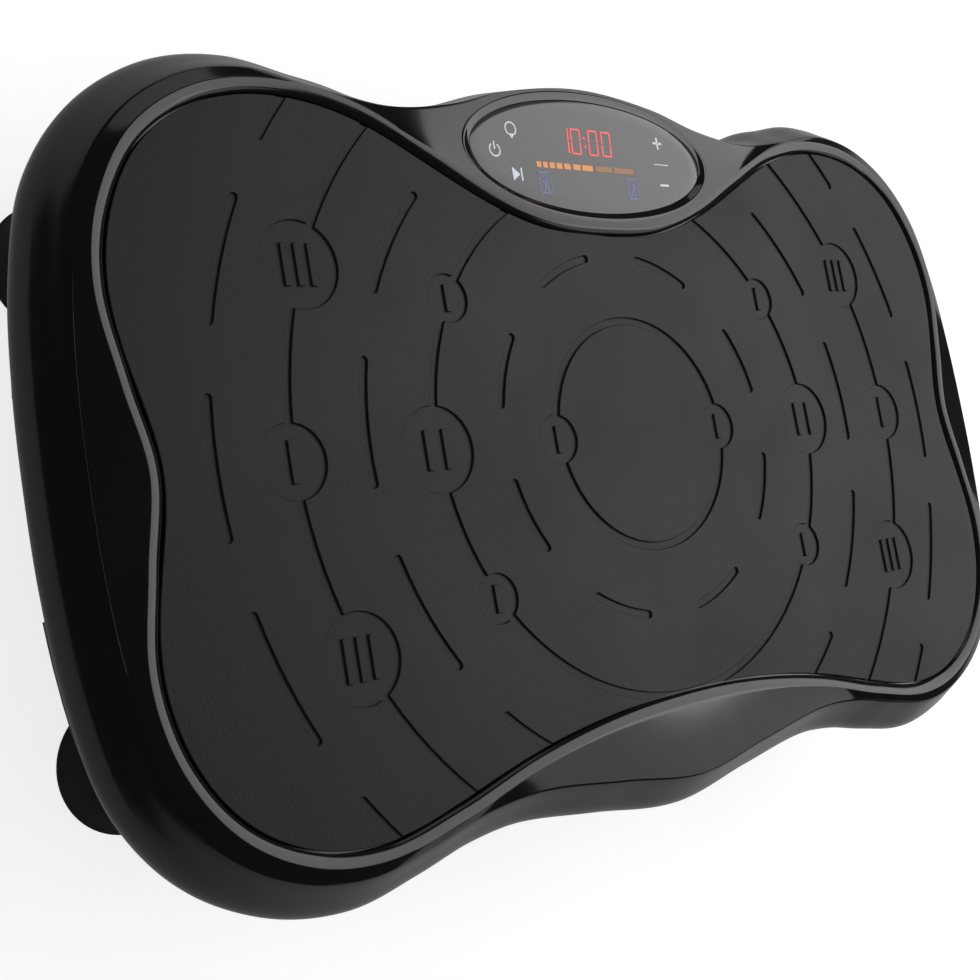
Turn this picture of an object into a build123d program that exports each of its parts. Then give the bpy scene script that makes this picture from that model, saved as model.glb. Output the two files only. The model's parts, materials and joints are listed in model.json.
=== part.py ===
from build123d import *
from math import asin, atan2, cos, degrees, hypot, radians, sin
import os

# Slim oscillating vibration plate: a rocking deck on a low base with suction feet.
#
# The frame has +Z up and its origin on the floor under the middle of the deck. +X runs along
# the plate's length and +Y points at the edge that carries the display. Lengths are in mm.
#
# The base tray carries a steel plate with the motor, a belt drive, a crankshaft and two pivot
# pedestals. The deck rocks about the pivot shaft, which lies along Y, and a connecting rod
# between the crankshaft's eccentric and the deck's wrist pin drives it.

# ---------------------------------------------------------------- heights above the floor
FOOT_HEIGHT = 30.0
SKIRT_BOTTOM = 86.0
FLANK_WIDEST = 97.0
TRAY_TOP = 94.0
MAT_TOP = 122.0
RIM_HEIGHT = 121.0  # the crease between the deck's top face and its flank
LIP_TOP = 124.0  # the raised lip round the mat

# ---------------------------------------------------------------- outlines
# The right half of each outline from the rear middle to the front middle, about the mat's
# centre. The left half is its mirror image.
PATTERN_Y = -5.5
RIM_HALF = [
    (0, 195.6), (56.7, 189), (94.5, 178.6), (137, 173.4), (179.5, 179), (215.5, 184.7),
    (250.4, 178.1), (281.6, 158.3), (302.4, 129.5), (312.8, 89.8), (317.5, 42.5), (318.5, 0),
    (317.5, -42.5), (312.8, -89.8), (302.4, -129.5), (281.6, -158.3), (250.4, -177.2),
    (215.5, -184.3), (179.5, -179), (146.5, -172), (113.4, -169.6), (56.7, -176.7), (0, -184.7),
]
MAT_HALF = [
    (0, 110.6), (42.5, 113.4), (85, 127.1), (122.9, 146.5), (160.7, 164.4), (200.3, 172),
    (241, 166.3), (274, 145.5), (293.9, 111.5), (299.6, 80.3), (293.9, 39.7), (286.8, 0),
    (293.9, -41.6), (299.6, -83.2), (292, -118.1), (271.2, -148.4), (241, -166.3),
    (207.9, -171.5), (165.4, -164.4), (113.4, -151.2), (56.7, -142.7), (0, -140.3),
]

# ---------------------------------------------------------------- deck
FLARE = 16.0  # how far the flank stands out past the rim
SKIRT_TUCK = 2.0  # how far the skirt's bottom edge turns back in
SHELL_WALL = 3.0
MAT_THICKNESS = 4.0
MAT_GAP = 0.3
WEB = 3.0  # the shell's floor under the mat
LIP_WIDTH = 7.5
LIP_SLOPE = 2.8  # how far the lip's inner wall leans out
DECK_PLATE = 4.0
DECK_PLATE_X, DECK_PLATE_Y = 240.0, 122.0
DECK_SCREW_X, DECK_SCREW_Y = (70.0, 210.0), 60.0

# ---------------------------------------------------------------- mat pattern
RING_RADII = (62.3, 141.8, 223.4)
GROOVE = 4.0
GROOVE_DEPTH = 1.2
DASH_RINGS = (  # radius, first centre angle, pitch and length in degrees
    (99.2, 22.5, 45.0, 21.5),
    (182.4, 5.0, 30.0, 18.5),
    (263.0, 0.0, 20.9, 13.3),
)
SPOTS = (  # ring, angle, spot radius, number of bars, bar length
    (0, 0.0, 12.8, 1, 14.5),
    (1, 0.0, 21.6, 2, 20.0),
    (1, 32.0, 12.4, 1, 14.0),
    (2, 0.0, 17.7, 1, 20.0),
    (2, 24.0, 21.3, 3, 20.5),
)
BAR_WIDTH = 3.2
BAR_PITCH = 7.2
BAR_PITCH_PAIR = 11.0

# ---------------------------------------------------------------- display
DISPLAY_Y = 156.0 + PATTERN_Y
DISPLAY_X_RADIUS, DISPLAY_Y_RADIUS = 93.0, 36.9
BEZEL_WIDTH = 4.5
LENS_TOP = 121.5
LENS_THICKNESS = 2.5
BOARD_X, BOARD_Y, BOARD_THICKNESS = 110.0, 34.0, 1.6
BEZEL_RISE = 1.5  # how far the bezel stands above the lens

# ---------------------------------------------------------------- base tray
TRAY_WALL = 3.0
TRAY_TOP_GROWTH = 3.0
TRAY_BEND_GROWTH, TRAY_BEND = -5.5, 35.0
TRAY_BOTTOM_GROWTH = -9.0
GRIP_X, GRIP_Y, GRIP_TOP = 275.0, 51.0, 52.0
RECESS_X, RECESS_HALF, RECESS_Y = 200.0, 42.0, 152.0
RECESS_BOTTOM, RECESS_TOP = 44.0, 76.0
FRAME_PLATE = 3.0
FRAME_X, FRAME_Y = 280.0, 132.0
FOOT_X, FOOT_Y = 268.0, 122.5
FOOT_RADIUS = 33.0
BOLT_RADIUS, NUT_RADIUS, NUT_HEIGHT, BOLT_SEAT = 4.0, 7.0, 6.0, 11.0

# ---------------------------------------------------------------- drive
CLEAR = 0.05  # clearance on a radius, for running fits and seats
SEAT = 0.3  # gap between pieces that lie beside each other
PIVOT_Z, PIVOT_Y, PIVOT_RADIUS = 92.0, 100.0, 8.0
PIVOT_BLOCK, PIVOT_BRACKET_Y, PIVOT_BRACKET = 16.0, 84.0, 8.0
BEARING_WALL = 4.0
BLOCK_WALL = 4.0
FLANGE_HEIGHT, FLANGE_REACH = 6.0, 16.0
CRANK_X, CRANK_Z, CRANK_RADIUS = 90.0, 60.0, 6.0
THROW = 2.0
ECCENTRIC_RADIUS, ECCENTRIC_LENGTH = 10.0, 12.0
CRANK_BLOCK_Y, CRANK_BLOCK = 36.0, 12.0
ROD_THICKNESS, ROD_WALL, ROD_STEM = 10.0, 3.5, 12.0
WRIST_RADIUS = 4.0
WRIST_PLAY = 3.0 * THROW  # room round the wrist pin in the rod's eye
LUG, LUG_Y, LUG_HALF, LUG_SCREW_Y = 8.0, 13.0, 8.0, 25.0
BRACKET_SCREW = 7.0  # from a bracket screw to its flange's end
WEIGHT_RADIUS, WEIGHT_Y, WEIGHT = 20.0, -18.0, 12.0
BELT_Y, BELT_WIDTH, BELT_THICKNESS = 60.0, 9.0, 1.8
BIG_PULLEY, SMALL_PULLEY, PULLEY_FLANGE, PULLEY_WIDTH = 20.0, 8.0, 2.5, 12.0
MOTOR_X, MOTOR_Z, MOTOR_RADIUS, MOTOR_WALL = -110.0, 66.0, 27.0, 2.5
MOTOR_FRONT, MOTOR_REAR, MOTOR_SHAFT = 40.0, -55.0, 4.0
MOTOR_BUSH, BUSH_RADIUS = 8.0, 9.0
ARMATURE_RADIUS, AIR_GAP = 20.0, 4.0
CRADLE_Y, CRADLE, CRADLE_HALF = (-38.0, 22.0), 14.0, 34.0
SCREW_RADIUS, SCREW_HEAD = 2.5, 4.5

# ---------------------------------------------------------------- worked out
FLOOR_TOP = FOOT_HEIGHT + TRAY_WALL
FRAME_TOP = FLOOR_TOP + FRAME_PLATE
WEB_BOTTOM = MAT_TOP - MAT_THICKNESS - WEB
DECK_BOTTOM = WEB_BOTTOM - DECK_PLATE
WRIST_X = CRANK_X + THROW
WRIST_Z = PIVOT_Z
ROCK = degrees(asin(THROW / WRIST_X))
BELT_RATIO = BIG_PULLEY / SMALL_PULLEY
LENS_BOTTOM = LENS_TOP - LENS_THICKNESS
BEARING_RADIUS = PIVOT_RADIUS + CLEAR + BEARING_WALL
CRANK_BEARING_RADIUS = CRANK_RADIUS + CLEAR + BEARING_WALL
ROD_BEARING_RADIUS = ECCENTRIC_RADIUS + CLEAR + BEARING_WALL

os.makedirs("parts", exist_ok=True)


def whole(half):
    """All the points of an outline from its right half, in the part's frame."""
    left = [(-x, y) for x, y in reversed(half) if x > 0]
    return [(x, y + PATTERN_Y) for x, y in half + left]


def grown(points, growth):
    """The outline's points moved outwards along its normals."""
    moved = []
    for i, (x, y) in enumerate(points):
        x0, y0 = points[i - 1]
        x1, y1 = points[(i + 1) % len(points)]
        length = hypot(x1 - x0, y1 - y0)
        moved.append((x - growth * (y1 - y0) / length, y + growth * (x1 - x0) / length))
    return moved


RIM = whole(RIM_HALF)
MAT = whole(MAT_HALF)


def section(points, growth, z):
    """A filled outline, grown by a distance, at a height."""
    with BuildSketch(Plane.XY.offset(z)) as filled:
        with BuildLine():
            Spline(*grown(points, growth), periodic=True)
        make_face()
    return filled.sketch


def lofted(*sections, mode=Mode.ADD):
    """A solid through outlines given as (points, growth, height)."""
    loft([section(*one) for one in sections], ruled=True, mode=mode)


def across(y):
    """A plane facing -Y, with its own x along +X and its own y along +Z."""
    return Plane(origin=(0, y, 0), x_dir=(1, 0, 0), z_dir=(0, -1, 0))


def round_bar(x, z, radius, y0, y1, bore=0.0, mode=Mode.ADD):
    """A round bar or ring along Y between two places."""
    with BuildSketch(across(y1)) as ring:
        with Locations((x, z)):
            Circle(radius)
            if bore:
                Circle(bore, mode=Mode.SUBTRACT)
    extrude(ring.sketch, amount=y1 - y0, mode=mode)


def block(x0, x1, y0, y1, z0, z1, mode=Mode.ADD):
    """A box between two corners."""
    with Locations(((x0 + x1) / 2, (y0 + y1) / 2, (z0 + z1) / 2)):
        Box(x1 - x0, y1 - y0, z1 - z0, mode=mode)


def screw(x, y, seat, length, way=-1):
    """A pan head screw along Z that seats at a height; way is where its thread points."""
    head = 0.6 * SCREW_HEAD
    with Locations((x, y, seat + way * length / 2)):
        Cylinder(SCREW_RADIUS, length)
    with Locations((x, y, seat - way * head / 2)):
        Cylinder(SCREW_HEAD, head)


def hole(x, y, z0, z1, radius):
    """A hole along Z between two heights."""
    with Locations((x, y, (z0 + z1) / 2)):
        Cylinder(radius, z1 - z0, mode=Mode.SUBTRACT)


def bearing_block(x, z, y, width, bearing, floor, reach):
    """A pedestal with a flange, bored for a bearing along Y."""
    boss = bearing + BLOCK_WALL
    with BuildSketch(across(y + width / 2)) as profile:
        with BuildLine():
            Polyline((x - boss - 4, floor), (x + boss + 4, floor), (x + boss, z), (x - boss, z), close=True)
        make_face()
        with Locations((x, z)):
            Circle(boss)
            Circle(bearing + CLEAR, mode=Mode.SUBTRACT)
        with Locations((x, floor + FLANGE_HEIGHT / 2)):
            Rectangle(2 * reach, FLANGE_HEIGHT)
    extrude(profile.sketch, amount=width)
    for side in (-1, 1):
        hole(x + side * (reach - 6), y, floor, floor + FLANGE_HEIGHT, SCREW_RADIUS + CLEAR)


# ================================================================ upper shell
DECK_SCREWS = [(sx * x, sy * DECK_SCREW_Y) for x in DECK_SCREW_X for sx in (-1, 1) for sy in (-1, 1)]
with BuildPart() as upper_shell:
    lofted((RIM, FLARE - SKIRT_TUCK, SKIRT_BOTTOM), (RIM, FLARE, FLANK_WIDEST), (RIM, 0, RIM_HEIGHT))
    lofted((RIM, 0, RIM_HEIGHT), (MAT, LIP_WIDTH, LIP_TOP))
    lofted(
        (RIM, FLARE - SKIRT_TUCK - SHELL_WALL, SKIRT_BOTTOM),
        (RIM, FLARE - SHELL_WALL, FLANK_WIDEST),
        (RIM, 1.0, WEB_BOTTOM),
        mode=Mode.SUBTRACT,
    )
    lofted((MAT, MAT_GAP, MAT_TOP - MAT_THICKNESS), (MAT, MAT_GAP, MAT_TOP - 1), mode=Mode.SUBTRACT)
    lofted((MAT, MAT_GAP, MAT_TOP - 1), (MAT, LIP_SLOPE, LIP_TOP), mode=Mode.SUBTRACT)
    with BuildSketch(Plane.XY.offset(LENS_BOTTOM)):
        with Locations((0, DISPLAY_Y)):
            Ellipse(DISPLAY_X_RADIUS, DISPLAY_Y_RADIUS)
    extrude(amount=LIP_TOP - LENS_BOTTOM, mode=Mode.SUBTRACT)
    with BuildSketch(Plane.XY.offset(WEB_BOTTOM)):
        with Locations((0, DISPLAY_Y)):
            Rectangle(BOARD_X + 2 * SEAT, BOARD_Y + 2 * SEAT)
    extrude(amount=LENS_BOTTOM - WEB_BOTTOM, mode=Mode.SUBTRACT)
    for x, y in DECK_SCREWS:
        hole(x, y, WEB_BOTTOM, MAT_TOP, SCREW_RADIUS + CLEAR)
        hole(x, y, MAT_TOP - MAT_THICKNESS - 0.6 * WEB, MAT_TOP, SCREW_HEAD + CLEAR)
upper_shell.part.label = "upper_shell"
export_step(upper_shell.part, "parts/upper_shell.step")

# ================================================================ foot mat
dashes = []
for radius, first, pitch, length in DASH_RINGS:
    for middle in [first + step * pitch for step in range(-4, 5)]:
        if abs(middle) < 80:
            dashes.append(CenterArc((0, PATTERN_Y), radius, middle - length / 2, length))
            dashes.append(CenterArc((0, PATTERN_Y), radius, 180 - middle - length / 2, length))

with BuildPart() as foot_mat:
    lofted((MAT, 0, MAT_TOP - MAT_THICKNESS), (MAT, 0, MAT_TOP))
    with BuildSketch(Plane.XY.offset(MAT_TOP - GROOVE_DEPTH)):
        with Locations((0, PATTERN_Y)):
            for radius in sorted(RING_RADII, reverse=True):
                Circle(radius + GROOVE / 2)
                Circle(radius - GROOVE / 2, mode=Mode.SUBTRACT)
        for dash in dashes:
            SlotArc(dash, GROOVE)
        for ring, angle, radius, bars, bar_length in SPOTS:
            for way in {angle, -angle, 180 - angle, 180 + angle}:
                x, y = RING_RADII[ring] * cos(radians(way)), RING_RADII[ring] * sin(radians(way))
                with Locations((x, y + PATTERN_Y)):
                    Circle(radius)
        for ring, angle, radius, bars, bar_length in SPOTS:
            for way in {angle, -angle, 180 - angle, 180 + angle}:
                x, y = RING_RADII[ring] * cos(radians(way)), RING_RADII[ring] * sin(radians(way))
                pitch = BAR_PITCH_PAIR if bars == 2 else BAR_PITCH
                with Locations((x, y + PATTERN_Y)):
                    with GridLocations(pitch, 1, bars, 1):
                        Rectangle(BAR_WIDTH, bar_length, mode=Mode.SUBTRACT)
    extrude(amount=GROOVE_DEPTH, mode=Mode.SUBTRACT)
foot_mat.part.label = "foot_mat"
export_step(foot_mat.part, "parts/foot_mat.step")

# ================================================================ display
with BuildPart() as display_bezel:
    with BuildSketch(Plane.XY.offset(LENS_BOTTOM)):
        with Locations((0, DISPLAY_Y)):
            Ellipse(DISPLAY_X_RADIUS - SEAT, DISPLAY_Y_RADIUS - SEAT)
            Ellipse(DISPLAY_X_RADIUS - BEZEL_WIDTH, DISPLAY_Y_RADIUS - BEZEL_WIDTH, mode=Mode.SUBTRACT)
    extrude(amount=LENS_THICKNESS + BEZEL_RISE)
display_bezel.part.label = "display_bezel"
export_step(display_bezel.part, "parts/display_bezel.step")

with BuildPart() as display_lens:
    with BuildSketch(Plane.XY.offset(LENS_BOTTOM)):
        with Locations((0, DISPLAY_Y)):
            Ellipse(DISPLAY_X_RADIUS - BEZEL_WIDTH - CLEAR, DISPLAY_Y_RADIUS - BEZEL_WIDTH - CLEAR)
    extrude(amount=LENS_THICKNESS)
display_lens.part.label = "display_lens"
export_step(display_lens.part, "parts/display_lens.step")

with BuildPart() as display_board:
    board_top = LENS_BOTTOM
    block(-BOARD_X / 2, BOARD_X / 2, DISPLAY_Y - BOARD_Y / 2, DISPLAY_Y + BOARD_Y / 2,
          board_top - BOARD_THICKNESS, board_top)
    for x in (-30, 0, 30):
        block(x - 6, x + 6, DISPLAY_Y - 6, DISPLAY_Y + 6, board_top - BOARD_THICKNESS - 2, board_top - BOARD_THICKNESS)
display_board.part.label = "display_board"
export_step(display_board.part, "parts/display_board.step")

# ================================================================ deck plate and its brackets
with BuildPart() as deck_plate:
    with BuildSketch(Plane.XY.offset(DECK_BOTTOM)):
        RectangleRounded(2 * DECK_PLATE_X, 2 * DECK_PLATE_Y, 30)
    extrude(amount=DECK_PLATE)
    for x, y in DECK_SCREWS:
        hole(x, y, DECK_BOTTOM, WEB_BOTTOM, SCREW_RADIUS + CLEAR)
deck_plate.part.label = "deck_plate"
export_step(deck_plate.part, "parts/deck_plate.step")

with BuildPart() as deck_screws:
    head_seat = MAT_TOP - MAT_THICKNESS - 0.6 * WEB
    for x, y in DECK_SCREWS:
        with Locations((x, y, (DECK_BOTTOM - 3 + head_seat) / 2)):
            Cylinder(SCREW_RADIUS, head_seat - DECK_BOTTOM + 3)
        with Locations((x, y, head_seat + 0.25 * WEB)):
            Cylinder(SCREW_HEAD, 0.5 * WEB)
deck_screws.part.label = "deck_screws"
export_step(deck_screws.part, "parts/deck_screws.step")

BRACKET_REACH = PIVOT_RADIUS + BLOCK_WALL + FLANGE_REACH
BRACKET_PLACES = {"rear": PIVOT_BRACKET_Y, "front": -PIVOT_BRACKET_Y}
for place, middle in BRACKET_PLACES.items():
    with BuildPart() as pivot_bracket:
        boss = PIVOT_RADIUS + BLOCK_WALL
        with BuildSketch(across(middle + PIVOT_BRACKET / 2)):
            with Locations((0, PIVOT_Z)):
                Circle(boss)
            with Locations((0, (PIVOT_Z + DECK_BOTTOM) / 2)):
                Rectangle(2 * boss, DECK_BOTTOM - PIVOT_Z)
            with Locations((0, DECK_BOTTOM - FLANGE_HEIGHT / 2)):
                Rectangle(2 * BRACKET_REACH, FLANGE_HEIGHT)
            with Locations((0, PIVOT_Z)):
                Circle(PIVOT_RADIUS + CLEAR, mode=Mode.SUBTRACT)
        extrude(amount=PIVOT_BRACKET)
        for side in (-1, 1):
            hole(side * (BRACKET_REACH - BRACKET_SCREW), middle, DECK_BOTTOM - FLANGE_HEIGHT, DECK_BOTTOM,
                 SCREW_RADIUS + CLEAR)
    pivot_bracket.part.label = f"pivot_bracket_{place}"
    export_step(pivot_bracket.part, f"parts/pivot_bracket_{place}.step")

with BuildPart() as pivot_shaft:
    shaft_end = PIVOT_Y + PIVOT_BLOCK / 2 + 10
    round_bar(0, PIVOT_Z, PIVOT_RADIUS, -shaft_end, shaft_end)
    chamfer(pivot_shaft.edges().filter_by(GeomType.CIRCLE), 1)
pivot_shaft.part.label = "pivot_shaft"
export_step(pivot_shaft.part, "parts/pivot_shaft.step")

with BuildPart() as shaft_collars:
    collar_start = PIVOT_Y + PIVOT_BLOCK / 2 + SEAT
    for side in (-1, 1):
        y0, y1 = sorted((side * collar_start, side * (collar_start + 6)))
        round_bar(0, PIVOT_Z, PIVOT_RADIUS + BLOCK_WALL, y0, y1, PIVOT_RADIUS + CLEAR)
shaft_collars.part.label = "shaft_collars"
export_step(shaft_collars.part, "parts/shaft_collars.step")

with BuildPart() as drive_bracket:
    for side in (-1, 1):
        middle = side * LUG_Y
        with BuildSketch(across(middle + LUG / 2)):
            with Locations((WRIST_X, WRIST_Z)):
                Circle(LUG_HALF)
            with Locations((WRIST_X, (WRIST_Z + DECK_BOTTOM) / 2)):
                Rectangle(2 * LUG_HALF, DECK_BOTTOM - WRIST_Z)
            with Locations((WRIST_X, WRIST_Z)):
                Circle(WRIST_RADIUS + CLEAR, mode=Mode.SUBTRACT)
        extrude(amount=LUG)
        flange_y = sorted((side * (LUG_Y - LUG / 2), side * (LUG_SCREW_Y + BRACKET_SCREW)))
        block(WRIST_X - LUG_HALF, WRIST_X + LUG_HALF, *flange_y, DECK_BOTTOM - FLANGE_HEIGHT, DECK_BOTTOM)
        hole(WRIST_X, side * LUG_SCREW_Y, DECK_BOTTOM - FLANGE_HEIGHT, DECK_BOTTOM, SCREW_RADIUS + CLEAR)
drive_bracket.part.label = "drive_bracket"
export_step(drive_bracket.part, "parts/drive_bracket.step")

with BuildPart() as wrist_pin:
    pin_end = LUG_Y + LUG / 2
    round_bar(WRIST_X, WRIST_Z, WRIST_RADIUS, -pin_end, pin_end)
wrist_pin.part.label = "wrist_pin"
export_step(wrist_pin.part, "parts/wrist_pin.step")

with BuildPart() as bracket_screws:
    for middle in BRACKET_PLACES.values():
        for side in (-1, 1):
            screw(side * (BRACKET_REACH - BRACKET_SCREW), middle, DECK_BOTTOM - FLANGE_HEIGHT, FLANGE_HEIGHT, way=1)
    for side in (-1, 1):
        screw(WRIST_X, side * LUG_SCREW_Y, DECK_BOTTOM - FLANGE_HEIGHT, FLANGE_HEIGHT, way=1)
bracket_screws.part.label = "bracket_screws"
export_step(bracket_screws.part, "parts/bracket_screws.step")

# ================================================================ base tray
with BuildPart() as tray_room:
    lofted(
        (RIM, TRAY_BOTTOM_GROWTH - TRAY_WALL, FLOOR_TOP),
        (RIM, TRAY_BEND_GROWTH - TRAY_WALL, TRAY_BEND + TRAY_WALL),
        (RIM, TRAY_TOP_GROWTH - TRAY_WALL, TRAY_TOP),
    )
    for side in (-1, 1):
        xs = sorted((side * (GRIP_X - TRAY_WALL), side * (GRIP_X + 60)))
        block(*xs, PATTERN_Y - GRIP_Y - TRAY_WALL, PATTERN_Y + GRIP_Y + TRAY_WALL, FOOT_HEIGHT,
              GRIP_TOP + TRAY_WALL, mode=Mode.SUBTRACT)
    block(RECESS_X - RECESS_HALF - TRAY_WALL, RECESS_X + RECESS_HALF + TRAY_WALL, RECESS_Y - TRAY_WALL,
          RECESS_Y + 60, RECESS_BOTTOM - TRAY_WALL, RECESS_TOP + TRAY_WALL, mode=Mode.SUBTRACT)

FEET = {
    "rear_left": (-FOOT_X, PATTERN_Y + FOOT_Y),
    "rear_right": (FOOT_X, PATTERN_Y + FOOT_Y),
    "front_left": (-FOOT_X, PATTERN_Y - FOOT_Y),
    "front_right": (FOOT_X, PATTERN_Y - FOOT_Y),
}
FRAME_SCREWS = [(x, PATTERN_Y + y) for x in (-180.0, 0.0, 180.0) for y in (8 - FRAME_Y, FRAME_Y - 8)]
INLET_X, INLET_HALF, INLET_HEIGHT, INLET_DEPTH = RECESS_X - 15, 13.0, 20.0, 20.0
SWITCH_X, SWITCH_HALF, SWITCH_HEIGHT = RECESS_X + 22, 10.0, 15.0
RECESS_Z = (RECESS_BOTTOM + RECESS_TOP) / 2
with BuildPart() as base_tray:
    lofted(
        (RIM, TRAY_BOTTOM_GROWTH, FOOT_HEIGHT),
        (RIM, TRAY_BEND_GROWTH, TRAY_BEND),
        (RIM, TRAY_TOP_GROWTH, TRAY_TOP),
    )
    add(tray_room.part, mode=Mode.SUBTRACT)
    for side in (-1, 1):
        xs = sorted((side * GRIP_X, side * (GRIP_X + 60)))
        block(*xs, PATTERN_Y - GRIP_Y, PATTERN_Y + GRIP_Y, FOOT_HEIGHT, GRIP_TOP, mode=Mode.SUBTRACT)
    block(RECESS_X - RECESS_HALF, RECESS_X + RECESS_HALF, RECESS_Y, RECESS_Y + 60,
          RECESS_BOTTOM, RECESS_TOP, mode=Mode.SUBTRACT)
    block(INLET_X - INLET_HALF, INLET_X + INLET_HALF, RECESS_Y - TRAY_WALL, RECESS_Y,
          RECESS_Z - INLET_HEIGHT / 2, RECESS_Z + INLET_HEIGHT / 2, mode=Mode.SUBTRACT)
    block(SWITCH_X - SWITCH_HALF, SWITCH_X + SWITCH_HALF, RECESS_Y - TRAY_WALL, RECESS_Y,
          RECESS_Z - SWITCH_HEIGHT / 2, RECESS_Z + SWITCH_HEIGHT / 2, mode=Mode.SUBTRACT)
    for x, y in FEET.values():
        hole(x, y, FOOT_HEIGHT, FLOOR_TOP, BOLT_RADIUS + CLEAR)
    for x, y in FRAME_SCREWS:
        hole(x, y, FOOT_HEIGHT, FLOOR_TOP, SCREW_RADIUS + CLEAR)
base_tray.part.label = "base_tray"
export_step(base_tray.part, "parts/base_tray.step")

BLOCK_SCREWS = []
PIVOT_REACH = BEARING_RADIUS + BLOCK_WALL + FLANGE_REACH
CRANK_REACH = CRANK_BEARING_RADIUS + BLOCK_WALL + FLANGE_REACH
for side in (-1, 1):
    BLOCK_SCREWS += [(side * (PIVOT_REACH - 6), PIVOT_Y), (side * (PIVOT_REACH - 6), -PIVOT_Y)]
    BLOCK_SCREWS += [(CRANK_X + side * (CRANK_REACH - 6), y) for y in (-CRANK_BLOCK_Y, CRANK_BLOCK_Y)]
with BuildPart() as frame_plate:
    with BuildSketch(Plane.XY.offset(FLOOR_TOP)):
        with Locations((0, PATTERN_Y)):
            RectangleRounded(2 * FRAME_X, 2 * FRAME_Y, 16)
            Rectangle(2 * FRAME_X, 2 * (GRIP_Y + TRAY_WALL + SEAT), mode=Mode.SUBTRACT)
            Rectangle(2 * (GRIP_X - TRAY_WALL - SEAT), 2 * FRAME_Y)
    extrude(amount=FRAME_PLATE)
    for x, y in FEET.values():
        hole(x, y, FLOOR_TOP, FRAME_TOP, BOLT_RADIUS + CLEAR)
    for x, y in FRAME_SCREWS + BLOCK_SCREWS:
        hole(x, y, FLOOR_TOP, FRAME_TOP, SCREW_RADIUS + CLEAR)
frame_plate.part.label = "frame_plate"
export_step(frame_plate.part, "parts/frame_plate.step")

with BuildPart() as frame_screws:
    for x, y in FRAME_SCREWS:
        screw(x, y, FRAME_TOP, FRAME_PLATE + TRAY_WALL)
frame_screws.part.label = "frame_screws"
export_step(frame_screws.part, "parts/frame_screws.step")

with BuildPart() as block_screws:
    for x, y in BLOCK_SCREWS:
        screw(x, y, FRAME_TOP + FLANGE_HEIGHT, FRAME_PLATE + FLANGE_HEIGHT)
block_screws.part.label = "block_screws"
export_step(block_screws.part, "parts/block_screws.step")

# ================================================================ feet
for place, (x, y) in FEET.items():
    with BuildPart() as foot:
        with BuildSketch(Plane(origin=(x, y, 0), x_dir=(1, 0, 0), z_dir=(0, -1, 0))):
            with BuildLine():
                Polyline(
                    (BOLT_RADIUS + CLEAR, FOOT_HEIGHT), (20, FOOT_HEIGHT), (20, FOOT_HEIGHT - 5), (17, FOOT_HEIGHT - 10),
                    (24, 12), (FOOT_RADIUS, 4), (FOOT_RADIUS, 0), (FOOT_RADIUS - 4, 0), (14, 6),
                    (NUT_RADIUS + SEAT, 6), (NUT_RADIUS + SEAT, BOLT_SEAT), (BOLT_RADIUS + CLEAR, BOLT_SEAT),
                    close=True,
                )
            make_face()
        revolve(axis=Axis((x, y, 0), (0, 0, 1)))
    foot.part.label = f"foot_{place}"
    export_step(foot.part, f"parts/foot_{place}.step")

with BuildPart() as foot_bolts:
    bolt_top = FRAME_TOP + NUT_HEIGHT + 2
    for x, y in FEET.values():
        with Locations((x, y, (BOLT_SEAT + bolt_top) / 2)):
            Cylinder(BOLT_RADIUS, bolt_top - BOLT_SEAT)
        with Locations((x, y, BOLT_SEAT - 2)):
            Cylinder(NUT_RADIUS, 4)
foot_bolts.part.label = "foot_bolts"
export_step(foot_bolts.part, "parts/foot_bolts.step")

with BuildPart() as foot_nuts:
    with BuildSketch(Plane.XY.offset(FRAME_TOP)):
        with Locations(*FEET.values()):
            RegularPolygon(NUT_RADIUS, 6)
            Circle(BOLT_RADIUS + CLEAR, mode=Mode.SUBTRACT)
    extrude(amount=NUT_HEIGHT)
foot_nuts.part.label = "foot_nuts"
export_step(foot_nuts.part, "parts/foot_nuts.step")

# ================================================================ pivot and crank blocks with their bearings
for place, side in (("rear", 1), ("front", -1)):
    with BuildPart() as pivot_block:
        bearing_block(0, PIVOT_Z, side * PIVOT_Y, PIVOT_BLOCK, BEARING_RADIUS, FRAME_TOP, PIVOT_REACH)
    pivot_block.part.label = f"pivot_block_{place}"
    export_step(pivot_block.part, f"parts/pivot_block_{place}.step")

    with BuildPart() as pivot_bearing:
        round_bar(0, PIVOT_Z, BEARING_RADIUS, side * PIVOT_Y - PIVOT_BLOCK / 2,
                  side * PIVOT_Y + PIVOT_BLOCK / 2, PIVOT_RADIUS + CLEAR)
    pivot_bearing.part.label = f"pivot_bearing_{place}"
    export_step(pivot_bearing.part, f"parts/pivot_bearing_{place}.step")

    with BuildPart() as crank_block:
        bearing_block(CRANK_X, CRANK_Z, side * CRANK_BLOCK_Y, CRANK_BLOCK, CRANK_BEARING_RADIUS,
                      FRAME_TOP, CRANK_REACH)
    crank_block.part.label = f"crank_block_{place}"
    export_step(crank_block.part, f"parts/crank_block_{place}.step")

    with BuildPart() as crank_bearing:
        round_bar(CRANK_X, CRANK_Z, CRANK_BEARING_RADIUS, side * CRANK_BLOCK_Y - CRANK_BLOCK / 2,
                  side * CRANK_BLOCK_Y + CRANK_BLOCK / 2, CRANK_RADIUS + CLEAR)
    crank_bearing.part.label = f"crank_bearing_{place}"
    export_step(crank_bearing.part, f"parts/crank_bearing_{place}.step")

# ================================================================ crankshaft, pulley and counterweight
with BuildPart() as crankshaft:
    round_bar(CRANK_X, CRANK_Z, CRANK_RADIUS, -CRANK_BLOCK_Y - CRANK_BLOCK, BELT_Y + PULLEY_WIDTH / 2 + 2)
    round_bar(WRIST_X, CRANK_Z, ECCENTRIC_RADIUS, -ECCENTRIC_LENGTH / 2, ECCENTRIC_LENGTH / 2)
crankshaft.part.label = "crankshaft"
export_step(crankshaft.part, "parts/crankshaft.step")

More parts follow.
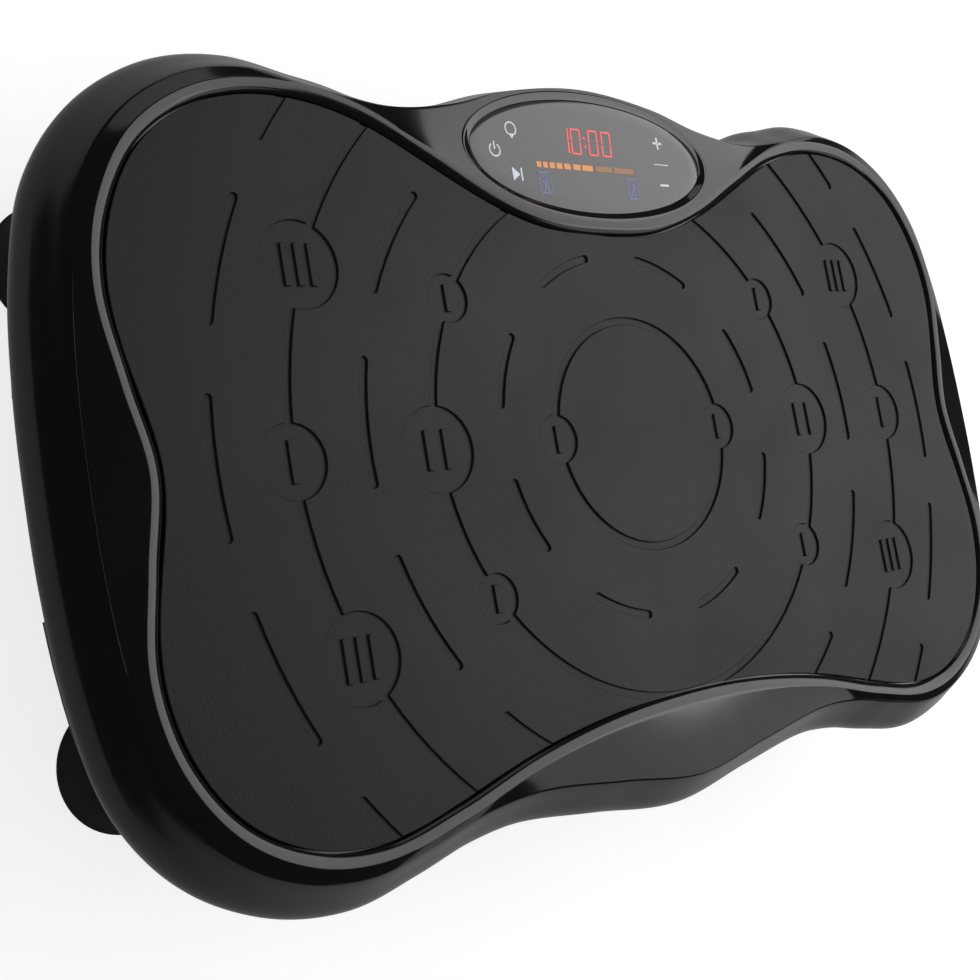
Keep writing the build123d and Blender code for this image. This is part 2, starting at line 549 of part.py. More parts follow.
with BuildPart() as counterweight:
    with BuildSketch(across(WEIGHT_Y + WEIGHT / 2)):
        with Locations((CRANK_X, CRANK_Z)):
            Circle(WEIGHT_RADIUS)
        with Locations((CRANK_X + WEIGHT_RADIUS / 2, CRANK_Z)):
            Rectangle(WEIGHT_RADIUS, 2 * WEIGHT_RADIUS, mode=Mode.SUBTRACT)
        with Locations((CRANK_X, CRANK_Z)):
            Circle(CRANK_RADIUS + BLOCK_WALL)
            Circle(CRANK_RADIUS + CLEAR, mode=Mode.SUBTRACT)
    extrude(amount=WEIGHT)
counterweight.part.label = "counterweight"
export_step(counterweight.part, "parts/counterweight.step")


def pulley(x, z, radius, bore):
    """A flanged belt pulley on a shaft along Y."""
    y0, y1 = BELT_Y - PULLEY_WIDTH / 2, BELT_Y + PULLEY_WIDTH / 2
    rim = (PULLEY_WIDTH - BELT_WIDTH - 2 * SEAT) / 2
    round_bar(x, z, radius, y0, y1, bore)
    round_bar(x, z, radius + PULLEY_FLANGE, y0, y0 + rim, bore)
    round_bar(x, z, radius + PULLEY_FLANGE, y1 - rim, y1, bore)


with BuildPart() as crank_pulley:
    pulley(CRANK_X, CRANK_Z, BIG_PULLEY - SEAT, CRANK_RADIUS + CLEAR)
crank_pulley.part.label = "crank_pulley"
export_step(crank_pulley.part, "parts/crank_pulley.step")

# ================================================================ connecting rod
with BuildPart() as connecting_rod:
    eye = WRIST_RADIUS + WRIST_PLAY
    with BuildSketch(across(ROD_THICKNESS / 2)):
        with Locations((WRIST_X, (CRANK_Z + WRIST_Z) / 2)):
            Rectangle(ROD_STEM, WRIST_Z - CRANK_Z)
        with Locations((WRIST_X, CRANK_Z)):
            Circle(ROD_BEARING_RADIUS + ROD_WALL)
            Circle(ROD_BEARING_RADIUS + CLEAR, mode=Mode.SUBTRACT)
        with Locations((WRIST_X, WRIST_Z)):
            Circle(eye + ROD_WALL)
            Circle(eye, mode=Mode.SUBTRACT)
    extrude(amount=ROD_THICKNESS)
connecting_rod.part.label = "connecting_rod"
export_step(connecting_rod.part, "parts/connecting_rod.step")

with BuildPart() as rod_bearing:
    round_bar(WRIST_X, CRANK_Z, ROD_BEARING_RADIUS, -ROD_THICKNESS / 2, ROD_THICKNESS / 2,
              ECCENTRIC_RADIUS + CLEAR)
rod_bearing.part.label = "rod_bearing"
export_step(rod_bearing.part, "parts/rod_bearing.step")

# ================================================================ motor
with BuildPart() as motor_can:
    round_bar(MOTOR_X, MOTOR_Z, MOTOR_RADIUS, MOTOR_REAR, MOTOR_FRONT)
    round_bar(MOTOR_X, MOTOR_Z, MOTOR_RADIUS - MOTOR_WALL, MOTOR_REAR, MOTOR_FRONT - MOTOR_BUSH, mode=Mode.SUBTRACT)
    round_bar(MOTOR_X, MOTOR_Z, BUSH_RADIUS + CLEAR, MOTOR_FRONT - MOTOR_BUSH, MOTOR_FRONT, mode=Mode.SUBTRACT)
motor_can.part.label = "motor_can"
export_step(motor_can.part, "parts/motor_can.step")

with BuildPart() as motor_end_cap:
    round_bar(MOTOR_X, MOTOR_Z, MOTOR_RADIUS, MOTOR_REAR - MOTOR_BUSH, MOTOR_REAR, BUSH_RADIUS + CLEAR)
motor_end_cap.part.label = "motor_end_cap"
export_step(motor_end_cap.part, "parts/motor_end_cap.step")

with BuildPart() as motor_bushes:
    round_bar(MOTOR_X, MOTOR_Z, BUSH_RADIUS, MOTOR_FRONT - MOTOR_BUSH, MOTOR_FRONT, MOTOR_SHAFT + CLEAR)
    round_bar(MOTOR_X, MOTOR_Z, BUSH_RADIUS, MOTOR_REAR - MOTOR_BUSH, MOTOR_REAR, MOTOR_SHAFT + CLEAR)
motor_bushes.part.label = "motor_bushes"
export_step(motor_bushes.part, "parts/motor_bushes.step")

with BuildPart() as motor_magnets:
    inner = ARMATURE_RADIUS + SEAT
    with BuildSketch(across(MOTOR_FRONT - MOTOR_BUSH - 12)):
        with Locations((MOTOR_X, MOTOR_Z)):
            Circle(MOTOR_RADIUS - MOTOR_WALL - CLEAR)
            Circle(inner, mode=Mode.SUBTRACT)
            Rectangle(12, 2 * MOTOR_RADIUS, mode=Mode.SUBTRACT)
    extrude(amount=56)
motor_magnets.part.label = "motor_magnets"
export_step(motor_magnets.part, "parts/motor_magnets.step")

with BuildPart() as armature:
    with BuildSketch(across(MOTOR_FRONT - MOTOR_BUSH - 14)):
        with Locations((MOTOR_X, MOTOR_Z)):
            Circle(ARMATURE_RADIUS)
            Circle(MOTOR_SHAFT + CLEAR, mode=Mode.SUBTRACT)
            with PolarLocations(ARMATURE_RADIUS - 3, 8):
                Rectangle(7, 2.5, mode=Mode.SUBTRACT)
    extrude(amount=52)
armature.part.label = "armature"
export_step(armature.part, "parts/armature.step")

with BuildPart() as commutator:
    round_bar(MOTOR_X, MOTOR_Z, ARMATURE_RADIUS / 2, MOTOR_REAR + 3, MOTOR_REAR + 18, MOTOR_SHAFT + CLEAR)
commutator.part.label = "commutator"
export_step(commutator.part, "parts/commutator.step")

with BuildPart() as motor_shaft:
    round_bar(MOTOR_X, MOTOR_Z, MOTOR_SHAFT, MOTOR_REAR - MOTOR_BUSH, BELT_Y + PULLEY_WIDTH / 2 + 2)
motor_shaft.part.label = "motor_shaft"
export_step(motor_shaft.part, "parts/motor_shaft.step")

with BuildPart() as motor_pulley:
    pulley(MOTOR_X, MOTOR_Z, SMALL_PULLEY - SEAT, MOTOR_SHAFT + CLEAR)
motor_pulley.part.label = "motor_pulley"
export_step(motor_pulley.part, "parts/motor_pulley.step")

with BuildPart() as motor_cradle:
    cradle_top = MOTOR_Z - 8
    for middle in CRADLE_Y:
        block(MOTOR_X - CRADLE_HALF, MOTOR_X + CRADLE_HALF, middle - CRADLE / 2, middle + CRADLE / 2,
              FRAME_TOP, cradle_top)
    block(MOTOR_X - CRADLE_HALF + 6, MOTOR_X - CRADLE_HALF + 12, *CRADLE_Y, FRAME_TOP, FRAME_TOP + 3)
    block(MOTOR_X + CRADLE_HALF - 12, MOTOR_X + CRADLE_HALF - 6, *CRADLE_Y, FRAME_TOP, FRAME_TOP + 3)
    round_bar(MOTOR_X, MOTOR_Z, MOTOR_RADIUS + CLEAR, MOTOR_REAR, MOTOR_FRONT, mode=Mode.SUBTRACT)
motor_cradle.part.label = "motor_cradle"
export_step(motor_cradle.part, "parts/motor_cradle.step")

with BuildPart() as motor_straps:
    for middle in CRADLE_Y:
        with BuildSketch(across(middle + 4)):
            with Locations((MOTOR_X, MOTOR_Z)):
                Circle(MOTOR_RADIUS + 1.5)
            with Locations((MOTOR_X, cradle_top + 0.75)):
                Rectangle(2 * CRADLE_HALF, 1.5)
            with Locations((MOTOR_X, cradle_top - MOTOR_RADIUS)):
                Rectangle(3 * CRADLE_HALF, 2 * MOTOR_RADIUS, mode=Mode.SUBTRACT)
            with Locations((MOTOR_X, MOTOR_Z)):
                Circle(MOTOR_RADIUS + CLEAR, mode=Mode.SUBTRACT)
        extrude(amount=8)
motor_straps.part.label = "motor_straps"
export_step(motor_straps.part, "parts/motor_straps.step")

with BuildPart() as drive_belt:
    span = hypot(CRANK_X - MOTOR_X, CRANK_Z - MOTOR_Z)
    lean = atan2(CRANK_Z - MOTOR_Z, CRANK_X - MOTOR_X)
    spread = asin((BIG_PULLEY - SMALL_PULLEY) / span)
    with BuildSketch(across(BELT_Y + BELT_WIDTH / 2)):
        for extra, way in ((BELT_THICKNESS, Mode.ADD), (0.0, Mode.SUBTRACT)):
            big, small = BIG_PULLEY + extra, SMALL_PULLEY + extra
            with Locations((CRANK_X, CRANK_Z)):
                Circle(big, mode=way)
            with Locations((MOTOR_X, MOTOR_Z)):
                Circle(small, mode=way)
            upper = lean + radians(90) + spread
            lower = lean - radians(90) - spread
            corners = [
                (CRANK_X + big * cos(upper), CRANK_Z + big * sin(upper)),
                (MOTOR_X + small * cos(upper), MOTOR_Z + small * sin(upper)),
                (MOTOR_X + small * cos(lower), MOTOR_Z + small * sin(lower)),
                (CRANK_X + big * cos(lower), CRANK_Z + big * sin(lower)),
            ]
            with BuildLine():
                Polyline(*corners, close=True)
            make_face(mode=way)
    extrude(amount=BELT_WIDTH)
drive_belt.part.label = "drive_belt"
export_step(drive_belt.part, "parts/drive_belt.step")

# ================================================================ control board, power inlet and switch
BOARD_AT = (-225.0, -40.0)
with BuildPart() as board_posts:
    for x in (-26, 26):
        for y in (-46, 46):
            with Locations((BOARD_AT[0] + x, BOARD_AT[1] + y, FRAME_TOP + 4)):
                Cylinder(3.5, 8)
board_posts.part.label = "board_posts"
export_step(board_posts.part, "parts/board_posts.step")

with BuildPart() as control_board:
    base = FRAME_TOP + 8
    x, y = BOARD_AT
    block(x - 30, x + 30, y - 50, y + 50, base, base + 1.6)
    block(x - 20, x + 2, y - 40, y - 8, base + 1.6, base + 20)
    block(x + 8, x + 24, y - 30, y + 10, base + 1.6, base + 14)
    with Locations((x - 12, y + 20, base + 1.6 + 9), (x + 8, y + 30, base + 1.6 + 9)):
        Cylinder(7, 18)
control_board.part.label = "control_board"
export_step(control_board.part, "parts/control_board.step")

with BuildPart() as power_inlet:
    block(INLET_X - INLET_HALF - 3, INLET_X + INLET_HALF + 3, RECESS_Y, RECESS_Y + 2,
          RECESS_Z - INLET_HEIGHT / 2 - 3, RECESS_Z + INLET_HEIGHT / 2 + 3)
    block(INLET_X - INLET_HALF + SEAT, INLET_X + INLET_HALF - SEAT, RECESS_Y - INLET_DEPTH, RECESS_Y,
          RECESS_Z - INLET_HEIGHT / 2 + SEAT, RECESS_Z + INLET_HEIGHT / 2 - SEAT)
    block(INLET_X - INLET_HALF + 3, INLET_X + INLET_HALF - 3, RECESS_Y - INLET_DEPTH + 3, RECESS_Y + 2,
          RECESS_Z - INLET_HEIGHT / 2 + 3.5, RECESS_Z + INLET_HEIGHT / 2 - 3.5, mode=Mode.SUBTRACT)
power_inlet.part.label = "power_inlet"
export_step(power_inlet.part, "parts/power_inlet.step")

with BuildPart() as inlet_pins:
    for x in (-5, 5):
        round_bar(INLET_X + x, RECESS_Z, 1.2, RECESS_Y - INLET_DEPTH + 3, RECESS_Y - 3)
inlet_pins.part.label = "inlet_pins"
export_step(inlet_pins.part, "parts/inlet_pins.step")

ROCKER_RADIUS, ROCKER_HALF = 7.5, 5.5
with BuildPart() as switch_frame:
    block(SWITCH_X - SWITCH_HALF - 2, SWITCH_X + SWITCH_HALF + 2, RECESS_Y, RECESS_Y + 1.5,
          RECESS_Z - SWITCH_HEIGHT / 2 - 2, RECESS_Z + SWITCH_HEIGHT / 2 + 2)
    block(SWITCH_X - SWITCH_HALF + SEAT, SWITCH_X + SWITCH_HALF - SEAT, RECESS_Y - 16, RECESS_Y,
          RECESS_Z - SWITCH_HEIGHT / 2 + SEAT, RECESS_Z + SWITCH_HEIGHT / 2 - SEAT)
    block(SWITCH_X - ROCKER_RADIUS - SEAT, SWITCH_X + ROCKER_RADIUS + SEAT, RECESS_Y - 12, RECESS_Y + 1.5,
          RECESS_Z - ROCKER_HALF - SEAT, RECESS_Z + ROCKER_HALF + SEAT, mode=Mode.SUBTRACT)
switch_frame.part.label = "switch_frame"
export_step(switch_frame.part, "parts/switch_frame.step")

SWITCH_PIVOT_Y = RECESS_Y - 3.5
with BuildPart() as switch_rocker:
    with BuildSketch(Plane.XY.offset(RECESS_Z - ROCKER_HALF)):
        with Locations((SWITCH_X, SWITCH_PIVOT_Y)):
            Circle(ROCKER_RADIUS)
        with Locations((SWITCH_X, SWITCH_PIVOT_Y + 5 + ROCKER_RADIUS)):
            Rectangle(2 * ROCKER_RADIUS, 2 * ROCKER_RADIUS, mode=Mode.SUBTRACT)
    extrude(amount=2 * ROCKER_HALF)
switch_rocker.part.label = "switch_rocker"
export_step(switch_rocker.part, "parts/switch_rocker.step")

print("rock", ROCK, "ratio", BELT_RATIO)
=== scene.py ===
"""Looks of a slim oscillating vibration plate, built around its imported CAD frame."""

import json
import logging
import math
from dataclasses import dataclass
from enum import Enum

import bmesh
import bpy
from mathutils import Matrix, Vector

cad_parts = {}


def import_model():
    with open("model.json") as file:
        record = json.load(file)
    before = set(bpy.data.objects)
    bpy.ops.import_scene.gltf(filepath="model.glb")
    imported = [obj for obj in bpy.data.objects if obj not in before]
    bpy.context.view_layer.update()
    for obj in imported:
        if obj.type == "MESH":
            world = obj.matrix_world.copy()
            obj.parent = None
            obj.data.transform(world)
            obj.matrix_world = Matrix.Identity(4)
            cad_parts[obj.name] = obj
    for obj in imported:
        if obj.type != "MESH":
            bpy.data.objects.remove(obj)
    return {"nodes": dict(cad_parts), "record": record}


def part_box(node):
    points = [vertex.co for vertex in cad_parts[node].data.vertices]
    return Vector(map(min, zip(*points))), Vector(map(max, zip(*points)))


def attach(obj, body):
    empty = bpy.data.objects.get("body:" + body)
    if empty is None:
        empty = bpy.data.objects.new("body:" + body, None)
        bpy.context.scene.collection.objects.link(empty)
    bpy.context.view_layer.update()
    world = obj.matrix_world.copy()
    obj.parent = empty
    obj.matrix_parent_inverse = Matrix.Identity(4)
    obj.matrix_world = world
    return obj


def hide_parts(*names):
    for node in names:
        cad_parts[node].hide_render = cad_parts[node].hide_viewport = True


logging.basicConfig(level=logging.INFO, format="%(message)s")
log = logging.getLogger("plate")

MM = 0.001
WHITE = (1.0, 1.0, 1.0)
CREASE = 32.0  # degrees; edges sharper than this stay sharp
Point = tuple[float, float]
Colour = tuple[float, float, float]
Point3 = tuple[float, float, float]


class Body(Enum):
    """The bodies that new pieces ride on."""

    BASE = "base"
    DECK = "deck"


# ---------------------------------------------------------------- shader maths


class Shade:
    """A node tree with one method that adds nodes."""

    def __init__(self, owner: bpy.types.Material | bpy.types.World) -> None:
        """Empties the node tree of a new material or world.

        Args:
            owner: the material or world, whose nodes are dropped.
        """
        owner.use_nodes = True
        self.owner = owner
        self.tree = owner.node_tree
        self.tree.nodes.clear()

    @classmethod
    def material(cls, name: str) -> "Shade":
        """The empty tree of a new material."""
        return cls(bpy.data.materials.new(name))

    def node(self, kind: str, settings: dict | None = None, **inputs: object) -> bpy.types.Node:
        """Adds a node.

        Args:
            kind: the node's type without its ShaderNode prefix.
            settings: attributes that are set first.
            inputs: socket names, with underscores for spaces, and their values or links.

        Returns:
            The new node.
        """
        made = self.tree.nodes.new("ShaderNode" + kind)
        for key, value in (settings or {}).items():
            setattr(made, key, value)
        for key, value in inputs.items():
            socket = made.inputs[int(key[1:])] if key[0] == "_" else made.inputs[key.replace("_", " ")]
            self.feed(socket, value)
        return made

    def feed(self, socket: bpy.types.NodeSocket, value: object) -> None:
        """Links a value into a socket, or sets it there.

        Args:
            socket: the input socket.
            value: a wire or socket to link, or a number, colour or vector.
        """
        if isinstance(value, Wire):
            self.tree.links.new(value.socket, socket)
        elif isinstance(value, bpy.types.NodeSocket):
            self.tree.links.new(value, socket)
        elif isinstance(value, tuple) and len(value) == 3 and socket.type == "RGBA":
            socket.default_value = (*value, 1.0)
        else:
            socket.default_value = value

    def ramp(self, fac: "Wire", stops: list[tuple[float, Colour]]) -> bpy.types.NodeSocket:
        """A colour ramp with linear stops.

        Args:
            fac: what runs along the ramp, 0 to 1.
            stops: places from 0 to 1 and their colours.

        Returns:
            The ramp's colour socket.
        """
        made = self.node("ValToRGB", Fac=fac)
        band = made.color_ramp
        while len(band.elements) < len(stops):
            band.elements.new(0.5)
        for element, (place, colour) in zip(band.elements, stops):
            element.position = place
            element.color = (*colour, 1.0)
        return made.outputs["Color"]

    def place(self) -> bpy.types.NodeSocket:
        """Object coordinates, in metres."""
        return self.node("TexCoord").outputs["Object"]

    def ray(self, kind: str) -> "Wire":
        """One of Light Path's tests of the ray."""
        return Wire(self, self.node("LightPath").outputs[kind])

    def noise(self, scale: float, detail: float = 3.0, roughness: float = 0.5) -> "Wire":
        """A noise of 0 to 1 whose cells are about 1/scale metres."""
        made = self.node("TexNoise", Vector=self.place(), Scale=scale, Detail=detail, Roughness=roughness)
        return Wire(self, made.outputs["Fac"])

    def cells(self, scale: float) -> "Wire":
        """Distance to the nearest cell centre, for a grained moulding."""
        made = self.node("TexVoronoi", Vector=self.place(), Scale=scale)
        return Wire(self, made.outputs["Distance"])

    def bump(self, height: "Wire", distance: float, strength: float = 1.0) -> bpy.types.NodeSocket:
        """A bump normal from a height."""
        return self.node("Bump", Height=height, Distance=distance, Strength=strength).outputs["Normal"]

    def surface(self, **inputs: object) -> bpy.types.Material:
        """Ends the material in a Principled shader with these inputs.

        Args:
            inputs: the shader's sockets, with underscores for spaces, and their values or links.

        Returns:
            The finished material.
        """
        principled = self.node("BsdfPrincipled", None, **inputs)
        self.node("OutputMaterial", Surface=principled.outputs["BSDF"])
        return self.owner


class Wire:
    """A number socket that Python's operators work on."""

    def __init__(self, shade: Shade, socket: bpy.types.NodeSocket) -> None:
        """Wraps a socket of a shade's tree."""
        self.shade = shade
        self.socket = socket

    def math(self, operation: str, *others: object) -> "Wire":
        """A Math node on this wire and others.

        Args:
            operation: the Math node's operation.
            others: the further numbers or wires.

        Returns:
            The node's result.
        """
        values = {f"_{i}": value for i, value in enumerate((self, *others))}
        made = self.shade.node("Math", {"operation": operation}, **values)
        return Wire(self.shade, made.outputs[0])

    def __add__(self, other: object) -> "Wire":
        """Sum."""
        return self.math("ADD", other)

    __radd__ = __add__

    def __mul__(self, other: object) -> "Wire":
        """Product."""
        return self.math("MULTIPLY", other)

    __rmul__ = __mul__

    def __sub__(self, other: object) -> "Wire":
        """Difference."""
        return self.math("SUBTRACT", other)

    def __rsub__(self, other: float) -> "Wire":
        """Number minus wire."""
        return (self * -1.0) + other

    def span(self, low: float, high: float, start: float, end: float) -> "Wire":
        """Maps low..high onto start..end, clamped."""
        made = self.shade.node("MapRange", None, _0=self, _1=low, _2=high, _3=start, _4=end)
        return Wire(self.shade, made.outputs[0])


# ---------------------------------------------------------------- finishes


@dataclass(frozen=True)
class Plastic:
    """A moulded plastic: polished or grained."""

    name: str
    colour: Colour
    roughness: float
    grain: float = 0.0  # grain size in metres, 0 for polished
    depth: float = 0.00002
    coat: float = 0.0

    def make(self) -> bpy.types.Material:
        """Builds the material.

        Returns:
            The material.
        """
        shade = Shade.material(self.name)
        cloud = shade.noise(14.0, 4.0)
        darker = tuple(c * 0.85 for c in self.colour)
        lighter = tuple(c * 1.15 for c in self.colour)
        colour = shade.ramp(cloud, [(0.3, darker), (0.7, lighter)])
        rough = shade.noise(60.0, 5.0, 0.6).span(0.3, 0.7, self.roughness * 0.85, self.roughness * 1.2)
        if self.grain:
            height = shade.cells(1.0 / self.grain) + shade.noise(0.6 / self.grain)
        else:
            height = shade.noise(35.0, 2.0)
        normal = shade.bump(height, self.depth)
        return shade.surface(Base_Color=colour, Roughness=rough, Normal=normal, Coat_Weight=self.coat,
                             Coat_Roughness=0.03)


@dataclass(frozen=True)
class Metal:
    """A bare or painted metal."""

    name: str
    colour: Colour
    roughness: float
    metallic: float = 1.0
    brushed: float = 900.0

    def make(self) -> bpy.types.Material:
        """Builds the material.

        Returns:
            The material.
        """
        shade = Shade.material(self.name)
        stretched = shade.node("Mapping", None, Vector=shade.place(), Scale=(1.0, 0.05, 1.0))
        made = shade.node("TexNoise", None, Vector=stretched.outputs[0], Scale=self.brushed, Detail=3.0)
        lines = Wire(shade, made.outputs["Fac"])
        darker = tuple(c * 0.8 for c in self.colour)
        colour = shade.ramp(shade.noise(40.0), [(0.3, darker), (0.7, self.colour)])
        rough = lines.span(0.3, 0.7, self.roughness * 0.75, self.roughness * 1.3)
        normal = shade.bump(lines, 0.00002)
        return shade.surface(Base_Color=colour, Roughness=rough, Metallic=self.metallic, Normal=normal)


@dataclass(frozen=True)
class Rubber:
    """A matte rubber with a fine pebbled grain and pale dust in patches."""

    name: str
    colour: Colour
    dusty: Colour
    roughness: float = 0.7
    grain: float = 0.0012
    depth: float = 0.00006

    def make(self) -> bpy.types.Material:
        """Builds the material.

        Returns:
            The material.
        """
        shade = Shade.material(self.name)
        patches = shade.noise(9.0, 6.0, 0.65)
        colour = shade.ramp(patches, [(0.35, self.colour), (0.7, self.dusty)])
        fine = shade.noise(1.0 / self.grain, 4.0, 0.7)
        height = fine + shade.cells(0.7 / self.grain) * 0.6
        rough = patches.span(0.3, 0.7, self.roughness - 0.06, self.roughness + 0.06)
        normal = shade.bump(height, self.depth)
        return shade.surface(Base_Color=colour, Roughness=rough, Normal=normal, Specular_IOR_Level=0.3)


@dataclass(frozen=True)
class Glow:
    """A lit mark behind the display's lens, or a printed mark with a painted glow, though it is no lamp."""

    name: str
    colour: Colour
    strength: float

    def make(self) -> bpy.types.Material:
        """Builds the material.

        Returns:
            The material.
        """
        shade = Shade.material(self.name)
        flicker = shade.noise(400.0, 1.0)
        lit = shade.ramp(flicker, [(0.0, tuple(c * 0.85 for c in self.colour)), (1.0, self.colour)])
        return shade.surface(Base_Color=lit, Emission_Color=lit, Emission_Strength=self.strength,
                             Roughness=0.35)


class Finish(Enum):
    """Every finish on the object."""

    SHELL = Plastic("gloss_shell", (0.0045, 0.0045, 0.005), 0.12, 0.0, 0.00004, 0.1)
    TRAY = Plastic("satin_tray", (0.038, 0.038, 0.04), 0.42, 0.0009, 0.00002)
    MOULDED = Plastic("moulded_black", (0.025, 0.025, 0.026), 0.5, 0.0011)
    BEZEL = Plastic("piano_bezel", (0.006, 0.006, 0.007), 0.08, 0.0, 0.00001, 0.4)
    LENS = Plastic("smoked_lens", (0.035, 0.036, 0.04), 0.1, 0.0, 0.00001, 0.5)
    MAT = Rubber("mat_rubber", (0.0085, 0.0085, 0.0087), (0.0135, 0.0135, 0.0138), 0.46)
    FOOT = Rubber("foot_rubber", (0.012, 0.012, 0.013), (0.02, 0.02, 0.02), 0.5, 0.0015, 0.00003)
    BELT = Rubber("belt_rubber", (0.015, 0.015, 0.015), (0.03, 0.03, 0.03), 0.65, 0.002)
    PAINTED = Plastic("powder_coat", (0.035, 0.036, 0.04), 0.45, 0.0007, 0.00003)
    CIRCUIT = Plastic("circuit_board", (0.01, 0.11, 0.045), 0.35, 0.004, 0.00005)
    FERRITE = Plastic("ferrite", (0.05, 0.05, 0.055), 0.6, 0.0015)
    STEEL = Metal("zinc_steel", (0.55, 0.55, 0.57), 0.3)
    ALLOY = Metal("cast_alloy", (0.62, 0.63, 0.65), 0.4, 1.0, 500.0)
    BRASS = Metal("turned_brass", (0.72, 0.52, 0.22), 0.28)
    DIGIT = Glow("red_digits", (0.85, 0.09, 0.08), 0.6)
    AMBER = Glow("amber_bar", (0.6, 0.23, 0.07), 0.5)
    EMBER = Glow("ember_bar", (0.3, 0.14, 0.06), 0.35)
    # The two printed finishes below glow as painted light, though printed marks are no lamps.
    PRINT = Glow("pale_print_painted_glow", (0.62, 0.66, 0.72), 0.25)
    VIOLET_PRINT_PAINTED_GLOW = Glow("violet_print_painted_glow", (0.2, 0.22, 0.5), 0.15)


class Paints:
    """Builds each finish once and hands it out."""

    def __init__(self) -> None:
        """Starts with nothing made."""
        self.made: dict[Finish, bpy.types.Material] = {}

    def get(self, finish: Finish) -> bpy.types.Material:
        """The material of a finish.

        Args:
            finish: which finish.

        Returns:
            Its material, built on first use.
        """
        if finish not in self.made:
            self.made[finish] = finish.value.make()
        return self.made[finish]

    def dress(self, piece: bpy.types.Object, finish: Finish) -> None:
        """Gives a piece one finish all over.

        Args:
            piece: the piece or CAD node.
            finish: which finish.
        """
        piece.data.materials.clear()
        piece.data.materials.append(self.get(finish))
        for slot in piece.material_slots:
            slot.link = "DATA"
            slot.material = self.get(finish)


# ---------------------------------------------------------------- outlines

PATTERN_Y = -5.5
RIM_HALF: list[Point] = [
    (0, 195.6), (56.7, 189), (94.5, 178.6), (137, 173.4), (179.5, 179), (215.5, 184.7),
    (250.4, 178.1), (281.6, 158.3), (302.4, 129.5), (312.8, 89.8), (317.5, 42.5), (318.5, 0),
    (317.5, -42.5), (312.8, -89.8), (302.4, -129.5), (281.6, -158.3), (250.4, -177.2),
    (215.5, -184.3), (179.5, -179), (146.5, -172), (113.4, -169.6), (56.7, -176.7), (0, -184.7),
]
MAT_HALF: list[Point] = [
    (0, 110.6), (42.5, 113.4), (85, 127.1), (122.9, 146.5), (160.7, 164.4), (200.3, 172),
    (241, 166.3), (274, 145.5), (293.9, 111.5), (299.6, 80.3), (293.9, 39.7), (286.8, 0),
    (293.9, -41.6), (299.6, -83.2), (292, -118.1), (271.2, -148.4), (241, -166.3),
    (207.9, -171.5), (165.4, -164.4), (113.4, -151.2), (56.7, -142.7), (0, -140.3),
]


class Outline:
    """A smooth closed outline, symmetric about the plate's middle, as evenly spread points in mm."""

    def __init__(self, half: list[Point], count: int) -> None:
        """Runs a curve through the half outline and its mirror image.

        Args:
            half: key points of the right half, rear middle to front middle.
            count: how many points the whole outline gets; an even number.
        """
        whole = [Vector((x, y + PATTERN_Y)) for x, y in half]
        whole += [Vector((-x, y + PATTERN_Y)) for x, y in reversed(half) if x > 0]
        size = len(whole)
        dense: list[Vector] = []
        for i in range(size):
            a, b, c, d = (whole[(i + k) % size] for k in (-1, 0, 1, 2))
            near, far = (b - a).length, (d - c).length
            run = (c - b).length
            out = ((c - b) / run + (b - a) / near) * run / 2
            back = ((d - c) / far + (c - b) / run) * run / 2
            for step in range(24):
                t = step / 24
                dense.append(
                    b * (2 * t**3 - 3 * t**2 + 1) + out * (t**3 - 2 * t**2 + t)
                    + c * (3 * t**2 - 2 * t**3) + back * (t**3 - t**2)
                )
        self.points = self.spread(dense, count)

    @staticmethod
    def spread(dense: list[Vector], count: int) -> list[Vector]:
        """Evenly spaced points along a closed run of points, from its first.

        Args:
            dense: closely spaced points of the closed run.
            count: how many points to give back.

        Returns:
            The evenly spaced points.
        """
        lengths = [0.0]
        for i, point in enumerate(dense):
            lengths.append(lengths[-1] + (dense[(i + 1) % len(dense)] - point).length)
        spaced, at = [], 0
        for step in range(count):
            want = lengths[-1] * step / count
            while lengths[at + 1] < want:
                at += 1
            share = (want - lengths[at]) / (lengths[at + 1] - lengths[at])
            spaced.append(dense[at].lerp(dense[(at + 1) % len(dense)], share))
        return spaced

    def grown(self, growth: float, rear_pull: float = 0.0) -> list[Vector]:
        """The points moved outwards along their normals.

        Args:
            growth: how far, in mm.
            rear_pull: how much less that is behind the display, in mm.

        Returns:
            The moved points.
        """
        moved, size = [], len(self.points)
        for i, point in enumerate(self.points):
            along = (self.points[(i + 1) % size] - self.points[i - 1]).normalized()
            share = min(1.0, max(0.0, (170.0 - abs(point.x)) / 60.0)) if point.y > 0 else 0.0
            step = growth - rear_pull * share * share * (3 - 2 * share)
            moved.append(point + Vector((-along.y, along.x)) * step)
        return moved


def level(points: list[Vector], z: float) -> list[Vector]:
    """Flat points lifted to a height, all in mm."""
    return [Vector((p.x, p.y, z)) for p in points]


def ellipse(x: float, y: float, middle_y: float, z: float, count: int) -> list[Vector]:
    """Points of an ellipse from its rear, in mm."""
    turns = [2 * math.pi * i / count for i in range(count)]
    return [Vector((x * math.sin(a), middle_y + y * math.cos(a), z)) for a in turns]


# ---------------------------------------------------------------- mesh building


